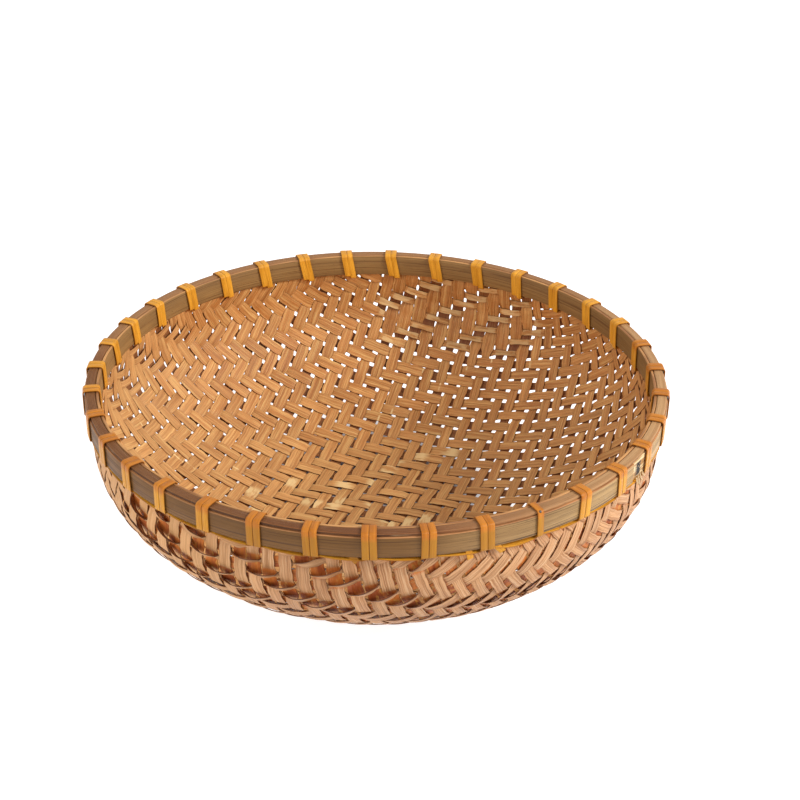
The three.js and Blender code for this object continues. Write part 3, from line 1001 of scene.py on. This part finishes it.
def lacing_guides(first, rng):
    """Guide line of one strip, from the gap before its first lacing to that after its last."""
    line = LacingLine()
    start = first + BINDING_COUNT
    last = start + BINDINGS_PER_STRIP - 1
    lay_run(line, start - 1, 0.5 + end_share(start - 1), RUN_END, HALF_RUN_STATIONS)
    for index in range(start, last + 1):
        angles = turn_angles(index)
        skew = INNER_SKEW + rng.uniform(-SKEW_SPREAD, SKEW_SPREAD)
        lean = rng.uniform(*LEAN_RANGE)
        corner_in(line, angles[0])
        for turn, angle in enumerate(angles):
            if turn > 0:
                leaves = angles[turn - 1] + lean + UNDERSIDE_TURN
                arrives = angle - skew - UNDERSIDE_TURN
                line.put(SEAT_RADIUS + UNDERSIDE_REACH, leaves, LACE_BOTTOM, 0.0, -1.0)
                line.put(SEAT_RADIUS - UNDERSIDE_REACH, arrives, LACE_BOTTOM, 0.0, -1.0)
            lay_turn(line, angle, skew, lean, LACE_CROSSING if turn == 0 else LACE_BOTTOM)
        corner_out(line, angles[-1])
        if index < last:
            lay_run(line, index, RUN_START, RUN_END, RUN_STATIONS)
    lay_run(line, last, RUN_START, 0.5 - end_share(last), HALF_RUN_STATIONS)
    angles = signed(np.array(line.angles))
    guides = Guides()
    guides.add(np.array(line.middles), np.array(line.facings), tone=rng.uniform(),
               under=np.array(line.crest), mark=within(angles, *WORN_AND_SHADED_LACING),
               flare=within(angles, *SHADED_FRONT_LACING))
    return guides


def loose_ends(guides, rng):
    """Ends of the strip that were tucked up behind the hoop and stick out below it."""
    for angle, reach, slant, twist, soil_and_shade in LOOSE_ENDS:
        share = np.linspace(0.0, 1.0, LOOSE_STATIONS)
        height = HOOP_BOTTOM + LOOSE_START - (reach + LOOSE_START) * share
        swing = LOOSE_SWING * np.sin(share * math.pi / 2)
        radius = LACE_OUTER_RADIUS - LOOSE_DEPTH + swing
        turn = angle + np.degrees(slant * share / HOOP_OUTER_RADIUS)
        facing = around(1.0, turn + math.degrees(twist) * share, 0.0)
        guides.add(around(radius, turn, height), facing, tone=rng.uniform(),
                   breadth=LOOSE_BREADTH, mark=LOOSE_SHADE, flare=soil_and_shade)


def add_pin(node):
    """The nail through the single turn of the lacing."""
    mesh = bpy.data.meshes.new("lacing_pin")
    head = bmesh.new()
    bmesh.ops.create_cone(head, cap_ends=True, segments=PIN_SEGMENTS, radius1=PIN_RADIUS * MM,
                          radius2=PIN_TAPER * PIN_RADIUS * MM, depth=PIN_HEIGHT * MM)
    outwards = Vector(outwards_at(PIN_ANGLE)) + Vector((0.0, 0.0, 1.0))
    place = around(LACE_OUTER_RADIUS - PIN_DEPTH, PIN_ANGLE, LACE_TOP - PIN_DEPTH)
    turn = outwards.to_track_quat("Z", "Y").to_matrix().to_4x4()
    head.transform(Matrix.Translation(Vector(place) * MM) @ turn)
    head.to_mesh(mesh)
    head.free()
    material, g = new_material("pin_steel")
    place = g.add("ShaderNodeTexCoord").outputs["Object"]
    stain = g.noise(g.scaled(place, 900.0))
    colour = g.mix(stain, tint("#232326"), tint("#3F3A36"))
    finish_material(g, colour, 0.4, stain, 0.00005, Metallic=0.8)
    mesh.materials.append(material)
    pin = bpy.data.objects.new("lacing_pin", mesh)
    bpy.context.scene.collection.objects.link(pin)
    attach(pin, "root")
    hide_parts(node)


# Materials


def new_material(name):
    material = bpy.data.materials.new(name)
    material.use_nodes = True
    return material, Nodes(material.node_tree)


def finish_material(g, colour, roughness, height, depth, **fixed):
    """Surface and bump of a material. Fixed values are set on the shader's own sockets."""
    bump = g.add("ShaderNodeBump", {"Height": height, "Distance": depth, "Strength": 1.0})
    surface = g.add(
        "ShaderNodeBsdfPrincipled",
        {"Base Color": colour, "Roughness": roughness, "Normal": bump.outputs[0]},
    )
    for name, value in fixed.items():
        surface.inputs[name.replace("_", " ")].default_value = value
    g.add("ShaderNodeOutputMaterial", {"Surface": surface.outputs[0]})


def fibre_streaks(g, along, across, tone, spread):
    """Gives a function for noise that is drawn out along a strip."""
    def streak(length_scale, width_scale, detail, shift=0.0, roughness=0.5):
        seed = g.math("ADD", g.math("MULTIPLY", tone, spread), shift)
        vector = g.vector(
            g.math("MULTIPLY", along, length_scale), g.math("MULTIPLY", across, width_scale), seed
        )
        return g.noise(vector, detail, roughness)

    return streak


def splint_fibres(g, colour, pale, dark, contrast, noises):
    """Fine fibres and broader cords along a splint. Contrast is how dark the dark ones are."""
    fine, cord, hair = noises
    lined = g.math("MULTIPLY", g.ramp(fine, 0.48, 0.34, 0.0, 0.75), contrast)
    colour = g.mix(lined, colour, dark)
    colour = g.mix(g.ramp(fine, 0.53, 0.66, 0.0, 0.6), colour, pale)
    lined = g.math("MULTIPLY", g.ramp(cord, 0.45, 0.36, 0.0, 0.55), contrast)
    colour = g.mix(lined, colour, dark)
    colour = g.mix(g.ramp(cord, 0.55, 0.66, 0.0, 0.45), colour, pale)
    return g.mix(g.ramp(hair, 0.43, 0.31, 0.0, 0.4), colour, dark)


def painted_light_left_and_floor(g, colour, inside):
    """Painted light: the left side, inside and out, and the inside towards the front are made
    paler, where more light falls on them.
    """
    place = g.add("ShaderNodeSeparateXYZ", {0: g.add("ShaderNodeTexCoord").outputs["Object"]})
    left = g.ramp(place.outputs[0], -95.0 * MM, -140.0 * MM, 0.0, 0.08)
    floor = g.ramp(place.outputs[1], 110.0 * MM, 35.0 * MM, 0.0, 0.14)
    paler = g.math("MULTIPLY", g.math("ADD", left, floor), inside)
    colour = g.mix(paler, colour, tint("#EFC88E"))
    left = g.ramp(place.outputs[0], -30.0 * MM, -110.0 * MM, 0.0, 0.6)
    paler = g.math("MULTIPLY", left, g.math("SUBTRACT", 1.0, inside))
    return g.mix(paler, colour, tint("#E3AE74"))


def painted_cavity_shade(g, colour, inside, patch, spots):
    """Painted shade: parts that lie behind others, seen from their own side, get a darker, redder
    brown for the shade and warm bounced light there, with painted glints of light.
    """
    layer = g.attribute("under")
    outside = g.math("SUBTRACT", 1.0, inside)
    behind = g.math("MULTIPLY", g.ramp(layer, 0.0, 0.5, 0.0, 0.9), outside)
    beneath = g.math("MULTIPLY", g.ramp(layer, -0.1, -0.6, 0.0, 0.8), inside)
    covered = g.math("ADD", behind, beneath)
    # Painted shade in covered parts: redder and darker, golden spots as painted glints of light,
    # and darker brown inside.
    redder = g.mix(0.7, colour, tint("#B8601F"), "MULTIPLY")
    hidden = g.mix(g.ramp(patch, 0.38, 0.6), tint("#A0430F"), tint("#DA7A28"))
    hidden = g.mix(g.ramp(spots, 0.6, 0.68), hidden, tint("#E09A44"))
    hidden = g.mix(inside, hidden, tint("#602A0C"))
    return g.mix(covered, colour, g.mix(0.78, redder, hidden))


def splint_material():
    """Split bamboo: warmer inside, pinker outside, with fibres and cords, painted shade along the
    edges and where covered, and painted light on the left.
    """
    material, g = new_material("woven_splint")
    along, across, tone = (g.attribute(name) for name in ("along", "across", "tone"))
    inside = g.ramp(g.attribute("through"), -0.05, 0.05)
    side = g.math("ADD", g.math("MULTIPLY", tone, 13.0), inside)
    streak = fibre_streaks(g, along, across, side, 7.0)
    broad = streak(16.0, 2.5, 2.0)
    fine = streak(45.0, 17.0, 3.0, 3.0, 0.6)
    cord = streak(26.0, 6.5, 2.0, 17.0, 0.6)
    hair = streak(70.0, 42.0, 2.0, 8.0)
    patch = streak(90.0, 1.5, 3.0, 12.0)
    spots = streak(170.0, 3.0, 1.0, 27.0)

    warm = g.mix(g.ramp(broad, 0.3, 0.7), tint("#BC7B3F"), tint("#D79A5B"))
    pink = g.mix(g.ramp(broad, 0.3, 0.7), tint("#B9855A"), tint("#D3A174"))
    pale = g.mix(inside, tint("#E3BE96"), tint("#EFC67F"))
    dark = g.mix(inside, tint("#84552F"), tint("#8C5122"))
    contrast = g.ramp(inside, 0.0, 1.0, 1.0, 0.72)
    colour = g.mix(inside, pink, warm)
    colour = splint_fibres(g, colour, pale, dark, contrast, (fine, cord, hair))
    colour = painted_light_left_and_floor(g, colour, inside)
    # Pale worn patches near the middle of the splints, and painted light on the shelves.
    worn_patch_and_shelf_light = g.ramp(g.math("ABSOLUTE", g.attribute("mark")), MARK_REACH, 0.25 * MARK_REACH)
    worn_patch_and_shelf_light = g.math("MULTIPLY", worn_patch_and_shelf_light, g.ramp(patch, 0.4, 0.55))
    worn_patch_and_shelf_light = g.math("MULTIPLY", worn_patch_and_shelf_light, g.math("MULTIPLY", inside, 0.85))
    colour = g.mix(worn_patch_and_shelf_light, colour, tint("#F4D499"))
    tone_value = g.ramp(tone, 0.0, 1.0, 0.9, 1.07, smooth=False)
    colour = g.mix(1.0, colour, g.vector(tone_value, tone_value, tone_value), "MULTIPLY")
    colour = painted_cavity_shade(g, colour, inside, patch, spots)

    # Painted shade: a thin dark line along each edge, and a broader one along the upper edge of
    # floats that flare out.
    border = g.ramp(g.math("ABSOLUTE", across), 0.468, 0.492)
    edge = g.math("MULTIPLY", border, g.ramp(inside, 0.0, 1.0, 0.5, 0.75))
    rim_side = g.math("MULTIPLY", across, g.attribute("flare"))
    edge = g.math("MAXIMUM", edge, g.ramp(rim_side, 0.26, 0.36, 0.0, 0.85))
    colour = g.mix(edge, colour, tint("#54290F"))
    height = g.math("ADD", fine, g.math("MULTIPLY", cord, 1.5))
    roughness = g.ramp(broad, 0.2, 0.8, 0.5, 0.64)
    finish_material(g, colour, roughness, height, 0.00014, Specular_IOR_Level=0.35)
    return material


def hoop_material(name, skin_dark, skin_light, line_colour, flesh_colour, edge_from):
    """Bamboo skin with lengthwise fibres, and the paler flesh at the upper edge."""
    material, g = new_material(name)
    along, across, through = (g.attribute(n) for n in ("along", "across", "through"))
    tone, paleness = g.attribute("tone"), g.attribute("mark")
    streak = fibre_streaks(g, along, across, tone, 37.0)
    broad = streak(7.0, 2.0, 2.0)
    lines = streak(7.0, 14.0, 3.0, 3.0, 0.6)
    fine = streak(40.0, 45.0, 2.0, 9.0)
    blotch = streak(45.0, 2.0, 3.0, 5.0)
    speck = streak(420.0, 14.0, 1.0, 15.0)
    # Darker at the front left, paler at the right: partly weathering, partly painted shade and
    # painted light.
    colour = g.mix(g.ramp(paleness, 0.0, 1.0), tint(skin_dark), tint(skin_light))
    darker = g.mix(0.6, colour, tint(line_colour))
    colour = g.mix(g.ramp(broad, 0.35, 0.65, 0.0, 0.55), colour, darker)
    colour = g.mix(g.ramp(blotch, 0.5, 0.72, 0.0, 0.4), colour, darker)
    colour = g.mix(g.ramp(lines, 0.46, 0.34, 0.0, 0.8), colour, tint(line_colour))
    colour = g.mix(g.ramp(fine, 0.46, 0.33, 0.0, 0.65), colour, tint(line_colour))
    colour = g.mix(g.ramp(speck, 0.26, 0.22, 0.0, 0.5), colour, tint("#2E1D10"))
    flesh = g.mix(g.ramp(fine, 0.35, 0.65), tint("#9C6A42"), tint(flesh_colour))
    upper = g.ramp(across, edge_from, edge_from + 0.012)
    colour = g.mix(upper, colour, flesh)
    colour = g.mix(g.ramp(through, 0.1, -0.2), colour, flesh)
    cream = g.mix(g.ramp(streak(90.0, 9.0, 3.0, 21.0), 0.4, 0.6), tint("#A97A48"), tint("#EBD2A4"))
    colour = g.mix(g.attribute("flare"), colour, cream)
    # Painted shadow: near black in the hole at the lap of the outer hoop and in the split of the
    # inner hoop, where there is only a gap.
    ragged = g.math("ADD", across, g.math("MULTIPLY", fine, 0.3))
    painted_hole_shadow = g.math("MULTIPLY", g.attribute("under"), g.ramp(ragged, 0.5, 0.42))
    painted_hole_shadow = g.math("MULTIPLY", painted_hole_shadow, g.ramp(ragged, -0.28, -0.2))
    painted_hole_shadow = g.math("MULTIPLY", painted_hole_shadow, g.ramp(streak(500.0, 9.0, 2.0, 33.0), 0.3, 0.45))
    colour = g.mix(painted_hole_shadow, colour, tint("#060302"))
    height = g.math("ADD", g.math("MULTIPLY", fine, 0.4), lines)
    roughness = g.ramp(broad, 0.2, 0.8, 0.42, 0.56)
    finish_material(g, colour, roughness, height, 0.0002, Specular_IOR_Level=0.28)
    return material


def cover_material():
    """The strip over the rim, with its lengthwise bundles dark at the front left from weathering;
    its colour is darker there and paler at the right, partly painted light and shade.
    """
    material, g = new_material("cover_bamboo")
    along, across, tone = (g.attribute(n) for n in ("along", "across", "tone"))
    paleness = g.attribute("mark")
    streak = fibre_streaks(g, along, across, tone, 37.0)
    broad = streak(9.0, 1.5, 2.0)
    fine = streak(60.0, 30.0, 3.0, 4.0, 0.6)
    wobble = g.math("MULTIPLY", g.math("SUBTRACT", streak(12.0, 1.0, 2.0, 7.0), 0.5), 0.1)
    bundles = g.math("MULTIPLY", g.math("ADD", across, wobble), math.tau * 7.5)
    bundles = g.ramp(g.math("SINE", bundles), 0.35, 0.95)
    darkening = g.ramp(paleness, 0.45, 0.0)
    # Darker at the front left, paler at the right: partly weathering, partly painted shade and
    # painted light.
    colour = g.mix(g.ramp(paleness, 0.15, 1.0), tint("#84502A"), tint("#C89C6C"))
    colour = g.mix(g.ramp(broad, 0.35, 0.65, 0.0, 0.5), colour, tint("#96683F"))
    lined = g.math("MULTIPLY", bundles, g.math("ADD", g.math("MULTIPLY", darkening, 0.8), 0.1))
    colour = g.mix(lined, colour, tint("#452A16"))
    colour = g.mix(g.ramp(fine, 0.46, 0.32, 0.0, 0.5), colour, tint("#6B4526"))
    colour = g.mix(g.ramp(fine, 0.56, 0.7, 0.0, 0.3), colour, tint("#D3AE84"))
    height = g.math("SUBTRACT", fine, g.math("MULTIPLY", lined, 1.2))
    finish_material(g, colour, 0.58, height, 0.00018, Specular_IOR_Level=0.25)
    return material


def lacing_material():
    material, g = new_material("lacing_bamboo")
    along, across, tone, crest = (g.attribute(n) for n in ("along", "across", "tone", "under"))
    wear_and_shade, soil_and_shade = g.attribute("mark"), g.attribute("flare")
    streak = fibre_streaks(g, along, across, tone, 53.0)
    broad = streak(40.0, 1.5, 2.0)
    fine = streak(60.0, 13.0, 3.0, 4.0, 0.6)
    hair = streak(90.0, 30.0, 2.0, 11.0)
    colour = g.mix(g.ramp(broad, 0.3, 0.7), tint("#DA972B"), tint("#F4B03A"))
    top = g.mix(g.ramp(broad, 0.35, 0.65), tint("#B86A1E"), tint("#CF7F29"))
    # Painted shade: the legs of the lacings at the front are darkened, a little over the worn side
    # and more in front; on the loose ends this also holds their soiling.
    darkening = g.math("ADD", g.math("MULTIPLY", wear_and_shade, 0.2), g.math("MULTIPLY", soil_and_shade, 0.5))
    darkening = g.math("MULTIPLY", darkening, g.ramp(crest, -0.8, 0.0))
    colour = g.mix(darkening, colour, tint("#8E5A10"))
    dulled = g.math("MULTIPLY", g.ramp(wear_and_shade, 0.0, 1.0, 0.1, 0.85), g.ramp(crest, 0.2, 0.9))
    colour = g.mix(dulled, colour, top)
    colour = g.mix(g.ramp(fine, 0.46, 0.33, 0.0, 0.65), colour, tint("#A8651A"))
    colour = g.mix(g.ramp(hair, 0.44, 0.32, 0.0, 0.4), colour, tint("#9A5C18"))
    edge = g.ramp(g.math("ABSOLUTE", across), 0.44, 0.49, 0.0, 0.75)
    colour = g.mix(edge, colour, tint("#8A4F14"))
    height = g.math("ADD", fine, g.math("MULTIPLY", hair, 0.5))
    roughness = g.ramp(broad, 0.2, 0.8, 0.3, 0.42)
    finish_material(g, colour, roughness, height, 0.00014, Specular_IOR_Level=0.24)
    return material


def floor_material():
    """White where the camera or a reflection sees it, with the basket's shadow kept and a painted
    shade under the bowl, where it does not glow and is greyer.
    """
    material, g = new_material("floor")
    path = g.add("ShaderNodeLightPath").outputs
    seen = g.math("MAXIMUM", path["Is Camera Ray"], path["Is Glossy Ray"])
    seen = g.math("MAXIMUM", seen, path["Is Transmission Ray"])
    place = g.add("ShaderNodeTexCoord").outputs["Object"]
    place = g.vector_math("SUBTRACT", place, (SHADE_CENTRE[0] * MM, SHADE_CENTRE[1] * MM, 0.0))
    place = g.vector_math("DIVIDE", place, (*SHADE_STRETCH, 1.0))
    distance = g.add("ShaderNodeVectorMath", {0: place}, operation="LENGTH").outputs["Value"]
    # Painted shade: under the bowl the glow fades out, and the floor seen there is a greyer lilac.
    glow = g.ramp(distance, SHADE_RADIUS * MM, CLEAR_RADIUS * MM, 0.0, FLOOR_GLOW)
    plain = g.add("ShaderNodeBsdfDiffuse", {"Color": (0.88, 0.86, 0.84, 1.0)})
    shaded = g.add("ShaderNodeBsdfDiffuse", {"Color": (0.55, 0.53, 0.56, 1.0)})
    lit = g.add("ShaderNodeEmission", {"Color": (1.0, 1.0, 1.0, 1.0), "Strength": glow})
    both = g.add("ShaderNodeAddShader", {0: shaded.outputs[0], 1: lit.outputs[0]})
    surface = g.add("ShaderNodeMixShader", {0: seen, 1: plain.outputs[0], 2: both.outputs[0]})
    g.add("ShaderNodeOutputMaterial", {"Surface": surface.outputs[0]})
    return material


# Stage


def add_floor():
    reach = FLOOR_REACH
    mesh = bpy.data.meshes.new("floor")
    ends = ((-reach, -reach), (reach, -reach), (reach, reach), (-reach, reach))
    corners = [(x, y, 0.0) for x, y in ends]
    mesh.from_pydata(corners, [], [(0, 1, 2, 3)])
    mesh.materials.append(floor_material())
    floor = bpy.data.objects.new("floor", mesh)
    bpy.context.scene.collection.objects.link(floor)


def add_light(name, place, size, power, colour):
    lamp = bpy.data.lights.new(name, "AREA")
    lamp.shape = "DISK"
    lamp.size = size
    lamp.energy = power
    lamp.color = colour
    light = bpy.data.objects.new(name, lamp)
    light.location = place
    aim = Vector((0.0, 0.0, LAMP_AIM_HEIGHT)) - Vector(place)
    light.rotation_euler = aim.to_track_quat("-Z", "Y").to_euler()
    bpy.context.scene.collection.objects.link(light)


def add_world(strength):
    world = bpy.data.worlds.new("studio")
    world.use_nodes = True
    g = Nodes(world.node_tree)
    path = g.add("ShaderNodeLightPath").outputs
    seen = g.math("MAXIMUM", path["Is Camera Ray"], path["Is Transmission Ray"])
    lit = g.add("ShaderNodeBackground", {"Color": (1.0, 0.98, 0.96, 1.0), "Strength": strength})
    white = g.add("ShaderNodeBackground", {"Color": (1.0, 1.0, 1.0, 1.0), "Strength": 1.0})
    both = g.add("ShaderNodeMixShader", {0: seen, 1: lit.outputs[0], 2: white.outputs[0]})
    g.add("ShaderNodeOutputWorld", {"Surface": both.outputs[0]})
    bpy.context.scene.world = world


def add_camera():
    """Places the camera so that the rim falls on its ellipse in the picture."""
    centre = PICTURE_SIZE / 2
    ray = Vector((
        (RIM_CENTRE_PIXEL[0] - centre) / FOCAL_PIXELS,
        (RIM_CENTRE_PIXEL[1] - centre) / FOCAL_PIXELS,
        1.0,
    )).normalized()
    roll, elevation = math.radians(CAMERA_ROLL), math.radians(CAMERA_ELEVATION)
    upright = Vector((math.sin(roll), -math.cos(roll), 0.0))
    upright = (upright - ray * upright.dot(ray)).normalized()
    right = ray.cross(upright)
    if right.x < 0:
        right.negate()
    back = ray * math.cos(elevation) + upright * math.sin(elevation)
    up = upright * math.cos(elevation) - ray * math.sin(elevation)
    to_world = Matrix((right, back, up))
    place = Vector((0.0, 0.0, RIM_CENTRE_HEIGHT)) - to_world @ (ray * CAMERA_DISTANCE)
    lens = bpy.data.cameras.new("camera")
    lens.sensor_width = SENSOR_WIDTH
    lens.lens = FOCAL_PIXELS / PICTURE_SIZE * SENSOR_WIDTH
    lens.clip_start, lens.clip_end = 0.01, 50.0
    camera = bpy.data.objects.new("camera", lens)
    flip = Matrix.Diagonal((1.0, -1.0, -1.0))
    camera.matrix_world = Matrix.Translation(place * MM) @ (to_world @ flip).to_4x4()
    bpy.context.scene.collection.objects.link(camera)
    bpy.context.scene.camera = camera


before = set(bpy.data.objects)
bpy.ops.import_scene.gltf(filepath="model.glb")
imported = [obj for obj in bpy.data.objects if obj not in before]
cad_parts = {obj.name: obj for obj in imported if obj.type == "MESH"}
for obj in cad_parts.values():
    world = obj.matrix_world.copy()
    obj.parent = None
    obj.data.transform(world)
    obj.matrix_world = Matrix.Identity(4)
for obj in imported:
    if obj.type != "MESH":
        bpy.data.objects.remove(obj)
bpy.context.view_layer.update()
bpy.context.scene.view_settings.view_transform = "Standard"

add_camera()
add_floor()
add_world(WORLD_STRENGTH)
for lamp in LAMPS:
    add_light(*lamp)

strips = strip_tree()
splint = splint_material()
for piece_name, is_steep, draw in (
    ("splints_steep", True, STEEP_SEED),
    ("splints_flat", False, FLAT_SEED),
):
    piece = make_strips(
        piece_name, woven_guides(is_steep, draw), strips, splint,
        SPLINT_WIDTH, SPLINT_THICKNESS, SPLINT_EDGE, variation=SPLINT_VARIATION, seed=draw,
    )
    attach(piece, "root")
    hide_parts("woven_mat")

outer_skin = hoop_material("hoop_bamboo_outer", "#7A5426", "#C6A26E", "#43280F", "#C28A5A", 0.468)
inner_skin = hoop_material("hoop_bamboo_inner", "#AE8856", "#8F6E40", "#664628", "#D09A60", 0.472)
rim_pieces = (
    ("hoop_outside", "outer_hoop", outer_hoop_guides(), outer_skin,
     OUTER_HOOP_TOP - HOOP_BOTTOM, OUTER_HOOP_THICKNESS, OUTER_HOOP_EDGE),
    ("hoop_inside", "inner_hoop", inner_hoop_guides(), inner_skin,
     INNER_HOOP_TOP - HOOP_BOTTOM, INNER_HOOP_THICKNESS, INNER_HOOP_EDGE),
    ("cover_strip", "rim_cap", cap_guides(), cover_material(),
     CAP_OUTER_RADIUS - CAP_INNER_RADIUS, CAP_THICKNESS, CAP_EDGE),
)
for piece_name, node, guides, skin, broad, thick, edge in rim_pieces:
    piece = make_strips(piece_name, guides, strips, skin, broad, thick, edge, sides=RIM_SIDES)
    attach(piece, "root")
    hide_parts(node)

lacing = lacing_material()
for strip in range(BINDING_COUNT // BINDINGS_PER_STRIP):
    rng = np.random.default_rng(LACING_SEED + strip)
    guides = lacing_guides(strip * BINDINGS_PER_STRIP, rng)
    if strip == SINGLE_TURN_BINDING // BINDINGS_PER_STRIP:
        loose_ends(guides, rng)
    piece = make_strips(
        f"lacing_{strip + 1}", guides, strips, lacing,
        STRIP_WIDTH, STRIP_THICKNESS, STRIP_EDGE, sides=STRIP_SIDES,
    )
    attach(piece, "root")
    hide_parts(f"lacing_strip_{strip + 1}")
add_pin(f"lacing_strip_{SINGLE_TURN_BINDING // BINDINGS_PER_STRIP + 1}")
